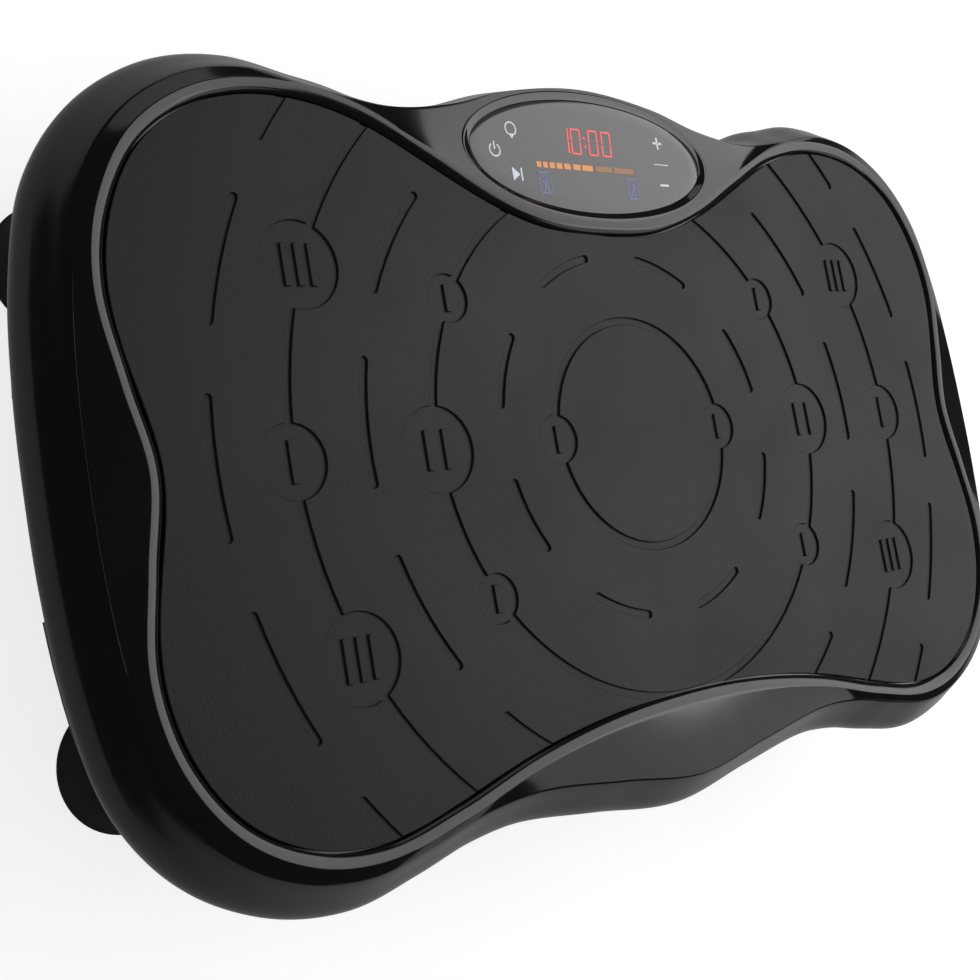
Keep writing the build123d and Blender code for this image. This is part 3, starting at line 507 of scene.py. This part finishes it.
class Skin:
    """A mesh grown ring by ring, each ring extruded from the last."""

    def __init__(self, first: list[Vector]) -> None:
        """Starts from one closed ring of points in mm.

        Args:
            first: the ring's points.
        """
        self.mesh = bmesh.new()
        ring = bmesh.ops.create_circle(self.mesh, segments=len(first), radius=1.0)["verts"]
        for vert, place in zip(ring, first):
            vert.co = place * MM
        self.first = ring
        self.last = ring

    def edges(self, ring: list[bmesh.types.BMVert]) -> list[bmesh.types.BMEdge]:
        """The edges of a ring."""
        pairs = zip(ring, ring[1:] + ring[:1])
        return [self.mesh.edges.get(pair) for pair in pairs]

    def grow(self, places: list[Vector]) -> None:
        """Extrudes the last ring to new places in mm.

        Args:
            places: one new place for each point of the last ring.
        """
        out = bmesh.ops.extrude_edge_only(self.mesh, edges=self.edges(self.last))
        fresh = {item for item in out["geom"] if isinstance(item, bmesh.types.BMVert)}
        ring = []
        for vert, place in zip(self.last, places):
            new = next(e.other_vert(vert) for e in vert.link_edges if e.other_vert(vert) in fresh)
            new.co = place * MM
            ring.append(new)
        self.last = ring

    def cap(self, ring: list[bmesh.types.BMVert]) -> None:
        """Closes a ring with one flat face."""
        bmesh.ops.edgeloop_fill(self.mesh, edges=self.edges(ring))

    def join(self) -> None:
        """Bridges the last ring to the first."""
        bmesh.ops.bridge_loops(self.mesh, edges=self.edges(self.last) + self.edges(self.first))

    def object(self, name: str) -> bpy.types.Object:
        """Ends the skin as an object."""
        return finished(self.mesh, name)


def finished(mesh: bmesh.types.BMesh, name: str, angle: float = CREASE) -> bpy.types.Object:
    """Turns a bmesh into an object at the origin.

    Args:
        mesh: the bmesh, which is freed.
        name: the object's name.
        angle: edges sharper than this many degrees stay sharp.

    Returns:
        The new object, linked to the scene.
    """
    bmesh.ops.recalc_face_normals(mesh, faces=mesh.faces)
    data = bpy.data.meshes.new(name)
    mesh.to_mesh(data)
    mesh.free()
    data.shade_smooth()
    data.set_sharp_from_angle(angle=math.radians(angle))
    piece = bpy.data.objects.new(name, data)
    bpy.context.scene.collection.objects.link(piece)
    return piece


def box_in(mesh: bmesh.types.BMesh, low: Point3, high: Point3, lean: float = 0.0) -> None:
    """Adds a box between two corners in mm, with its top leaning in X by a share of its depth.

    Args:
        mesh: the bmesh that gets the box.
        low: its lowest corner.
        high: its highest corner.
        lean: how far X moves for each unit of Y from the middle.
    """
    size = [b - a for a, b in zip(low, high)]
    middle = [(a + b) / 2 for a, b in zip(low, high)]
    matrix = Matrix.Translation(Vector(middle) * MM) @ Matrix.Diagonal((*[s * MM for s in size], 1.0))
    verts = bmesh.ops.create_cube(mesh, size=1.0, matrix=matrix)["verts"]
    for vert in verts:
        vert.co.x += lean * (vert.co.y - middle[1] * MM)


def lathe(name: str, profile: list[Point], centre: Point, steps: int = 72) -> bpy.types.Object:
    """A turned piece about a vertical axis.

    Args:
        name: the object's name.
        profile: radius and height pairs in mm, a closed section.
        centre: where the axis stands, in mm.
        steps: how many segments go round.

    Returns:
        The new object.
    """
    mesh = bmesh.new()
    verts = [mesh.verts.new((r * MM, 0.0, z * MM)) for r, z in profile]
    edges = [mesh.edges.new(pair) for pair in zip(verts, verts[1:] + verts[:1])]
    bmesh.ops.spin(mesh, geom=verts + edges, cent=(0, 0, 0), axis=(0, 0, 1), angle=2 * math.pi, steps=steps,
                   use_merge=True)
    bmesh.ops.remove_doubles(mesh, verts=mesh.verts, dist=1e-6)
    bmesh.ops.translate(mesh, vec=(centre[0] * MM, centre[1] * MM, 0), verts=mesh.verts)
    return finished(mesh, name, 40.0)


def cut(piece: bpy.types.Object, cutter: bpy.types.Object) -> None:
    """Cuts one mesh out of another and drops the cutter.

    Args:
        piece: what is cut.
        cutter: the shape that is taken away.
    """
    modifier = piece.modifiers.new("cut", "BOOLEAN")
    modifier.object = cutter
    modifier.operation = "DIFFERENCE"
    modifier.solver = "EXACT"
    depsgraph = bpy.context.evaluated_depsgraph_get()
    data = bpy.data.meshes.new_from_object(piece.evaluated_get(depsgraph))
    piece.modifiers.clear()
    old, name = piece.data, piece.data.name
    piece.data = data
    bpy.data.meshes.remove(old)
    data.name = name
    data.set_sharp_from_angle(angle=math.radians(CREASE))
    bpy.data.objects.remove(cutter)


# ---------------------------------------------------------------- deck


@dataclass
class Deck:
    """The rocking deck: shell, mat and display."""

    paints: Paints
    points: int = 480
    flare: float = 16.0
    rear_pull: float = 9.0
    wall: float = 3.0
    skirt: float = 86.0
    rim_z: float = 121.0
    lip_z: float = 124.0
    lip_width: float = 7.5
    mat_top: float = 122.0
    web_z: float = 115.0
    display_y: float = 150.5
    display_x_radius: float = 93.0
    display_y_radius: float = 36.9
    lens_z: float = 121.5

    def shell(self) -> bpy.types.Object:
        """The one-piece glossy shell with its flared skirt and raised lip.

        Returns:
            The shell's object.
        """
        rim, mat = Outline(RIM_HALF, self.points), Outline(MAT_HALF, self.points)
        skirt, rim_z = self.skirt, self.rim_z
        flank = [
            (self.flare - 5.0, skirt), (self.flare - 2.6, skirt), (self.flare - 1.6, skirt + 0.8),
            (self.flare - 0.7, skirt + 3.0), (self.flare - 0.15, skirt + 6.0), (self.flare, skirt + 9.0),
            (self.flare - 0.5, skirt + 12.0), (self.flare - 1.9, skirt + 15.0),
            (self.flare - 4.3, skirt + 19.0), (8.4, rim_z - 11.8), (5.0, rim_z - 6.6), (2.2, rim_z - 2.7),
            (1.1, rim_z - 1.2), (0.5, rim_z - 0.45), (0.0, rim_z - 0.08),
        ]
        skin = Skin(level(rim.grown(1.0), self.web_z))
        skin.grow(level(rim.grown(self.flare - self.wall, self.rear_pull), skirt + 11.0))
        for growth, z in flank:
            skin.grow(level(rim.grown(growth, self.rear_pull * growth / self.flare), z))
        edge, lip = rim.grown(0.0), mat.grown(self.lip_width)
        for share in (0.02, 0.05, 0.1, 0.2, 0.35, 0.5, 0.65, 0.8, 0.9, 0.96, 1.0):
            z = rim_z + (self.lip_z - rim_z) * (0.9 * share + 0.1 * math.sin(math.pi * share / 2))
            skin.grow([Vector((*a.lerp(b, share), z)) for a, b in zip(edge, lip)])
        inner = [(6.9, 124.0), (6.0, 123.94), (4.9, 123.74), (3.8, 123.42), (2.8, 123.02), (2.0, 122.56),
                 (1.35, 122.05), (0.95, 121.5), (0.8, 118.4)]
        for growth, z in inner:
            skin.grow(level(mat.grown(growth), z))
        skin.cap(skin.last)
        skin.cap(skin.first)
        piece = skin.object("deck_shell")
        self.open_display(piece)
        return piece

    def open_display(self, piece: bpy.types.Object) -> None:
        """Cuts the display's oval pocket and the board's window below it.

        Args:
            piece: the shell's object.
        """
        pocket = Skin(ellipse(self.display_x_radius, self.display_y_radius, self.display_y, 119.0, 160))
        pocket.cap(pocket.first)
        pocket.grow(ellipse(self.display_x_radius, self.display_y_radius, self.display_y, 130.0, 160))
        pocket.cap(pocket.last)
        cut(piece, pocket.object("pocket"))
        window = bmesh.new()
        box_in(window, (-55.3, self.display_y - 17.3, 110), (55.3, self.display_y + 17.3, 119.5))
        cut(piece, finished(window, "window"))

    def mat(self) -> bpy.types.Object:
        """The rubber mat: the moulded pattern with softened edges.

        Returns:
            The mat's object.
        """
        mesh = bmesh.new()
        mesh.from_mesh(self.node("foot_mat").data)
        bmesh.ops.remove_doubles(mesh, verts=mesh.verts, dist=1e-6)
        bmesh.ops.dissolve_limit(mesh, angle_limit=math.radians(0.5), verts=mesh.verts, edges=mesh.edges)
        corner, top = math.radians(50), (self.mat_top - 0.1) * MM
        sharp = [e for e in mesh.edges if len(e.link_faces) == 2 and e.calc_face_angle() > corner
                 and e.verts[0].co.z > top and e.verts[1].co.z > top]
        bmesh.ops.bevel(mesh, geom=sharp, offset=0.7 * MM, offset_type="OFFSET", segments=3, profile=0.5,
                        affect="EDGES", material=-1, clamp_overlap=True)
        bmesh.ops.triangulate(mesh, faces=[f for f in mesh.faces if len(f.verts) > 4])
        piece = finished(mesh, "deck_mat", 60.0)
        for face in piece.data.polygons:
            face.use_smooth = face.normal.z < 0.999
        return piece

    @staticmethod
    def node(name: str) -> bpy.types.Object:
        """A CAD node's object."""
        return FRAME["nodes"][name]

    def tilt(self, y: float) -> float:
        """The console's height at a distance from the rear edge, in mm."""
        return 122.55 - 0.0387 * (y - self.display_y)

    def bezel(self) -> bpy.types.Object:
        """The display's black oval ring, which slopes in to the lens.

        Returns:
            The ring's object.
        """
        steps = [  # inset, height above the console, share of the lens's level
            (0.4, -2.5, 0.0), (0.4, -0.2, 0.0), (-0.7, 0.0, 0.0), (-0.7, 0.25, 0.0), (-0.3, 0.45, 0.0),
            (0.4, 0.45, 0.0), (1.2, 0.2, 0.1), (3.8, 0.0, 0.85), (4.4, 0.0, 1.0), (4.5, -1.0, 1.0),
            (4.5, -2.4, 1.0),
        ]
        rings = []
        for inset, rise, share in steps:
            x, y = self.display_x_radius - inset, self.display_y_radius - inset
            ring = ellipse(x, y, self.display_y, 0.0, 200)
            for point in ring:
                outer, inner = self.tilt(point.y) + rise, self.lens_z + 0.15 + rise
                point.z = min(outer * (1 - share) + inner * share, self.lip_z)
            rings.append(ring)
        skin = Skin(rings[0])
        for ring in rings[1:]:
            skin.grow(ring)
        skin.join()
        return skin.object("display_ring")

    def lens(self) -> bpy.types.Object:
        """The smoked lens with a softly rounded edge.

        Returns:
            The lens's object.
        """
        gap, thick, count = 4.6, 2.5, 200
        z, x, y = self.lens_z, self.display_x_radius - gap, self.display_y_radius - gap
        skin = Skin(ellipse(x, y, self.display_y, z - thick, count))
        for inset, rise in ((0.0, -0.4), (0.15, -0.12), (0.5, 0.0), (8.0, 0.0), (20.0, 0.0)):
            skin.grow(ellipse(x - inset, y - inset, self.display_y, z + rise, count))
        skin.cap(skin.first)
        skin.cap(skin.last)
        return skin.object("display_window")

    def build(self) -> None:
        """Builds and dresses the deck's pieces."""
        plan = [
            (self.shell, Finish.SHELL, "upper_shell", "shell"),
            (self.mat, Finish.MAT, "foot_mat", "mat"),
            (self.bezel, Finish.BEZEL, "display_bezel", "bezel"),
            (self.lens, Finish.LENS, "display_lens", "lens"),
        ]
        for make, finish, node, slot in plan:
            piece = make()
            self.paints.dress(piece, finish)
            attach(piece, Body.DECK.value)
            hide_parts(node)
            log.info("%s: %d faces", piece.name, len(piece.data.polygons))


SEGMENTS = {"0": "abcefg", "1": "cf"}  # which of a digit's seven bars are lit, from the top down


LIT_LAMPS: list[Point] = [  # each lamp's left end and length
    (-43, 3.3), (-38.3, 3.3), (-33.6, 3.8), (-28.4, 4.2), (-22.7, 4.7), (-16.1, 5.7), (-9, 8),
]
DIM_LAMPS: list[Point] = [(1, 13.2), (15.6, 15.6)]


@dataclass
class Symbols:
    """Generic marks on the lens: digits, a bar of lamps and key symbols, in mm from the pattern's centre."""

    paints: Paints
    top: float = 121.52
    thick: float = 0.12

    def bar(self, mesh: bmesh.types.BMesh, x0: float, x1: float, y0: float, y1: float,
            lean: float = 0.0) -> None:
        """One flat raised stroke."""
        box_in(mesh, (x0, y0 + PATTERN_Y, self.top), (x1, y1 + PATTERN_Y, self.top + self.thick), lean)

    def ring(self, mesh: bmesh.types.BMesh, x: float, y: float, radius: float, width: float, start: float,
             end: float) -> None:
        """Part of a flat ring between two angles in degrees.

        Args:
            mesh: the bmesh that gets the ring.
            x: the ring's middle across the lens.
            y: the ring's middle up the lens.
            radius: from the middle to the stroke.
            width: the stroke's width.
            start: where the stroke starts.
            end: where the stroke ends.
        """
        steps = max(8, int(abs(end - start) / 10))
        for i in range(steps):
            turn = math.radians(start + (end - start) * (i + 0.5) / steps)
            length = math.radians(abs(end - start)) * radius / steps * 1.12
            matrix = (
                Matrix.Translation(Vector((x, y + PATTERN_Y, self.top + self.thick / 2)) * MM)
                @ Matrix.Rotation(turn, 4, "Z") @ Matrix.Translation((radius * MM, 0, 0))
                @ Matrix.Diagonal((width * MM, length * MM, self.thick * MM, 1.0))
            )
            bmesh.ops.create_cube(mesh, size=1.0, matrix=matrix)

    def digits(self) -> bmesh.types.BMesh:
        """The time as seven-bar digits.

        Returns:
            The digits' bmesh.
        """
        mesh = bmesh.new()
        width, height, stroke, lean = 7.4, 15.0, 0.95, 0.09
        bottom, gap = 156.9, 0.35
        middle, top = bottom + height / 2, bottom + height
        for digit, x in (("1", -23.2), ("0", -14.2), ("0", -0.9), ("0", 9.4)):
            bars = {
                "a": (x + stroke * 0.6, x + width - stroke * 0.6, top - stroke, top),
                "b": (x, x + stroke, middle + gap, top - gap),
                "c": (x + width - stroke, x + width, middle + gap, top - gap),
                "d": (x + stroke * 0.6, x + width - stroke * 0.6, middle - stroke / 2, middle + stroke / 2),
                "e": (x, x + stroke, bottom + gap, middle - gap),
                "f": (x + width - stroke, x + width, bottom + gap, middle - gap),
                "g": (x + stroke * 0.6, x + width - stroke * 0.6, bottom, bottom + stroke),
            }
            for name in SEGMENTS[digit]:
                x0, x1, y0, y1 = bars[name]
                shift = lean * ((y0 + y1) / 2 - middle)
                self.bar(mesh, x0 + shift, x1 + shift, y0, y1, lean)
        for y in (middle - 3.2, middle + 1.8):
            self.bar(mesh, -4.4, -3.1, y, y + 1.3)
        return mesh

    def lamps(self, row: list[Point]) -> bmesh.types.BMesh:
        """Part of the row of lamps under the digits.

        Args:
            row: each lamp's left end and length.

        Returns:
            The lamps' bmesh.
        """
        mesh = bmesh.new()
        for x, length in row:
            self.bar(mesh, x, x + length, 147.8, 151.0)
        return mesh

    def prints(self) -> bmesh.types.BMesh:
        """The key symbols: printed marks that get a painted glow from their finish.

        Returns:
            The symbols' bmesh.
        """
        mesh = bmesh.new()
        self.ring(mesh, -57.7, 168.0, 3.6, 0.9, -60, 240)  # programme: an open turning arrow
        for i in range(6):
            self.bar(mesh, -57.7 - 1.8 + i * 0.3, -57.7 + 1.8 - i * 0.3, 164.8 - i * 0.45, 165.3 - i * 0.45)
        self.ring(mesh, -71.3, 155.5, 3.5, 0.9, 125, 415)  # power
        self.bar(mesh, -71.75, -70.85, 155.8, 160.2)
        for i in range(9):  # start: a triangle and a stop bar
            half = 3.6 * (1 - i / 9)
            self.bar(mesh, -61.5 + i * 0.55, -60.95 + i * 0.55, 142.9 - half, 142.9 + half)
        self.bar(mesh, -55.6, -54.6, 139.3, 146.5)
        self.bar(mesh, 52.2, 59.4, 167.6, 168.9)  # plus
        self.bar(mesh, 55.15, 56.45, 164.6, 171.8)
        self.bar(mesh, 52.2, 59.4, 142.2, 143.5)  # minus
        self.bar(mesh, 50.0, 62.0, 155.0, 155.5)  # divider
        return mesh

    def squares(self) -> bmesh.types.BMesh:
        """Two outlined squares, each with a small figure of bars: printed marks that get a painted glow from
        their finish.

        Returns:
            The squares' bmesh.
        """
        mesh = bmesh.new()
        for x in (-38.8, 28.4):
            left, right, low, high = x - 4.5, x + 4.5, 133.2, 145.0
            for box in ((left, right, high - 0.5, high), (left, right, low, low + 0.5),
                        (left, left + 0.5, low, high), (right - 0.5, right, low, high)):
                self.bar(mesh, *box)
            self.ring(mesh, x, 142.2, 0.8, 0.6, 0, 360)
            self.bar(mesh, x - 0.6, x + 0.6, 137.6, 141.0)
            self.bar(mesh, x - 2.2, x + 2.2, 139.6, 140.2)
            self.bar(mesh, x - 1.3, x - 0.6, 134.4, 137.6)
            self.bar(mesh, x + 0.6, x + 1.3, 134.4, 137.6)
        return mesh

    def build(self) -> None:
        """Builds and dresses the marks."""
        plan = [
            ("display_digits", self.digits(), Finish.DIGIT),
            ("display_lamps", self.lamps(LIT_LAMPS), Finish.AMBER),
            ("display_dim_lamps", self.lamps(DIM_LAMPS), Finish.EMBER),
            # The printed symbols and squares glow as painted light; they are no lamps.
            ("display_symbols", self.prints(), Finish.PRINT),
            ("display_squares", self.squares(), Finish.VIOLET_PRINT_PAINTED_GLOW),
        ]
        for name, mesh, finish in plan:
            piece = finished(mesh, name)
            self.paints.dress(piece, finish)
            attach(piece, Body.DECK.value)
            log.info("%s: %d faces", name, len(piece.data.polygons))


# ---------------------------------------------------------------- base


@dataclass
class Base:
    """The suction feet, and the finishes of the CAD nodes that show as they are."""

    paints: Paints
    foot_radius: float = 33.0
    foot_height: float = 30.0
    bore: float = 4.05
    seat: float = 11.0

    def foot(self, name: str) -> bpy.types.Object:
        """One rubber foot: a cup with a thin lip, a waist and a collar.

        Args:
            name: the foot's CAD node, which says where it stands.

        Returns:
            The foot's object.
        """
        low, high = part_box(name)
        centre = ((low[0] + high[0]) / 2 / MM, (low[1] + high[1]) / 2 / MM)
        r, h = self.foot_radius, self.foot_height
        profile = [
            (self.bore, h), (19.0, h), (19.8, h - 0.8), (19.8, h - 4.2), (19.0, h - 5.2), (17.0, h - 6.6),
            (16.6, h - 9.5), (17.6, h - 12.5), (21.0, 14.6), (25.2, 11.0), (28.6, 7.4), (30.4, 4.4), (r, 2.0),
            (r - 0.1, 0.6), (r - 0.7, 0.0), (r - 3.4, 0.0), (22.0, 3.4), (14.0, 6.0), (7.4, 6.2),
            (7.4, self.seat), (self.bore, self.seat),
        ]
        return lathe(name + "_cup", profile, centre)

    def build(self) -> None:
        """Builds the feet."""
        for name in ("foot_rear_left", "foot_rear_right", "foot_front_left", "foot_front_right"):
            piece = self.foot(name)
            self.paints.dress(piece, Finish.FOOT)
            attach(piece, Body.BASE.value)
            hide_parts(name)
            log.info("%s: %d faces", piece.name, len(piece.data.polygons))

    def dress_nodes(self) -> None:
        """Gives every remaining CAD node its finish by its material slot."""
        finishes = {
            "shell": Finish.SHELL, "tray": Finish.TRAY, "mat": Finish.MAT, "bezel": Finish.BEZEL,
            "lens": Finish.LENS, "feet": Finish.FOOT, "board": Finish.CIRCUIT, "steel_plate": Finish.PAINTED,
            "steel": Finish.STEEL, "alloy": Finish.ALLOY, "brass": Finish.BRASS, "magnet": Finish.FERRITE,
            "plastic": Finish.MOULDED, "belt": Finish.BELT,
        }
        for entry in FRAME["record"]["subparts"]:
            self.paints.dress(FRAME["nodes"][entry["node"]], finishes[entry["material_slot"]])


# ---------------------------------------------------------------- studio


@dataclass
class Studio:
    """Floor, lamps, world and camera."""

    eye: Point3 = (-0.5575, -0.0751, 0.6487)
    forward: Point3 = (0.6393, 0.1019, -0.7622)
    up: Point3 = (0.0645, 0.9806, 0.1852)
    focal: float = 1404.4
    shift: Point = (0.0105, -0.0466)
    frame: float = 980.0  # the image width that the focal length is given for
    floor_size: float = 6.0
    floor_drop: float = 0.0004
    floor_grey: float = 0.36
    floor_glow: float = 0.76  # what the camera sees on top of the lit grey
    floor_sheen: float = 0.06  # what reflections see on top of it
    sky_light: float = 0.5
    sky_dimming: float = 0.47  # how much darker reflections see the sky

    def camera(self) -> None:
        """The camera, rolled so that the plate's short side stands up."""
        data = bpy.data.cameras.new("camera")
        data.sensor_width = 36.0
        data.lens = data.sensor_width * self.focal / self.frame
        data.clip_start = 0.01
        camera = bpy.data.objects.new("camera", data)
        data.shift_x, data.shift_y = self.shift
        back = -Vector(self.forward).normalized()
        right = Vector(self.up).cross(back).normalized()
        axes = Matrix((right, back.cross(right), back)).transposed()
        camera.matrix_world = Matrix.Translation(self.eye) @ axes.to_4x4()
        bpy.context.scene.collection.objects.link(camera)
        bpy.context.scene.camera = camera

    def floor(self) -> None:
        """A wide pale floor that keeps a soft shadow."""
        mesh = bmesh.new()
        bmesh.ops.create_grid(mesh, x_segments=8, y_segments=8, size=self.floor_size)
        bmesh.ops.translate(mesh, vec=(0, 0, -self.floor_drop), verts=mesh.verts)
        floor = finished(mesh, "floor")
        shade = Shade.material("pale_floor")
        camera, glossy = shade.ray("Is Camera Ray"), shade.ray("Is Glossy Ray")
        diffuse = shade.node("BsdfDiffuse", None, Color=(self.floor_grey,) * 3)
        strength = camera * self.floor_glow + glossy * self.floor_sheen
        glow = shade.node("Emission", None, Color=WHITE, Strength=strength)
        both = shade.node("AddShader", None, _0=diffuse.outputs[0], _1=glow.outputs[0])
        shade.node("OutputMaterial", Surface=both.outputs[0])
        floor.data.materials.append(shade.owner)

    def world(self) -> None:
        """White to the camera, mid grey as light, and dark in reflections."""
        world = bpy.data.worlds.new("studio")
        bpy.context.scene.world = world
        shade = Shade(world)
        camera, glossy = shade.ray("Is Camera Ray"), shade.ray("Is Glossy Ray")
        strength = camera * (1.0 - self.sky_light) + self.sky_light - glossy * self.sky_dimming
        back = shade.node("Background", None, Color=WHITE, Strength=strength)
        shade.node("OutputWorld", Surface=back.outputs[0])

    def lamp(self, name: str, place: Point3, target: Point3, size: Point, radiance: float) -> None:
        """A soft rectangular lamp that faces a target.

        Args:
            name: the lamp's name.
            place: its centre in metres.
            target: the point it faces.
            size: its width and height in metres.
            radiance: how bright its face is, where 1 renders as white.
        """
        data = bpy.data.lights.new(name, "AREA")
        data.shape = "RECTANGLE"
        data.size, data.size_y = size
        data.energy = radiance * math.pi * size[0] * size[1]
        lamp = bpy.data.objects.new(name, data)
        way = (Vector(target) - Vector(place)).normalized()
        lamp.matrix_world = Matrix.Translation(place) @ way.to_track_quat("-Z", "Y").to_matrix().to_4x4()
        bpy.context.scene.collection.objects.link(lamp)

    def build(self) -> None:
        """Builds the studio."""
        self.camera()
        self.floor()
        self.world()
        middle = (0.0, 0.0, 0.1)
        self.lamp("right_panel", (2.35, 0.5, 2.45), middle, (2.9, 2.6), 2.1)
        self.lamp("front_panel", (2.2, -1.15, 1.9), middle, (1.4, 1.6), 0.9)
        self.lamp("rear_panel", (0.5, 2.6, 1.6), middle, (2.0, 1.2), 0.6)
        self.lamp("left_strip", (-2.3, 0.35, 1.75), middle, (1.8, 0.1), 2.5)


def main() -> None:
    """Builds the whole scene around the frame."""
    bpy.context.scene.view_settings.view_transform = "Standard"
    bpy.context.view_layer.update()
    paints = Paints()
    Studio().build()
    base = Base(paints)
    base.dress_nodes()
    Deck(paints).build()
    Symbols(paints).build()
    base.build()


if __name__ == "__main__":
    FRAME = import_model()
    main()
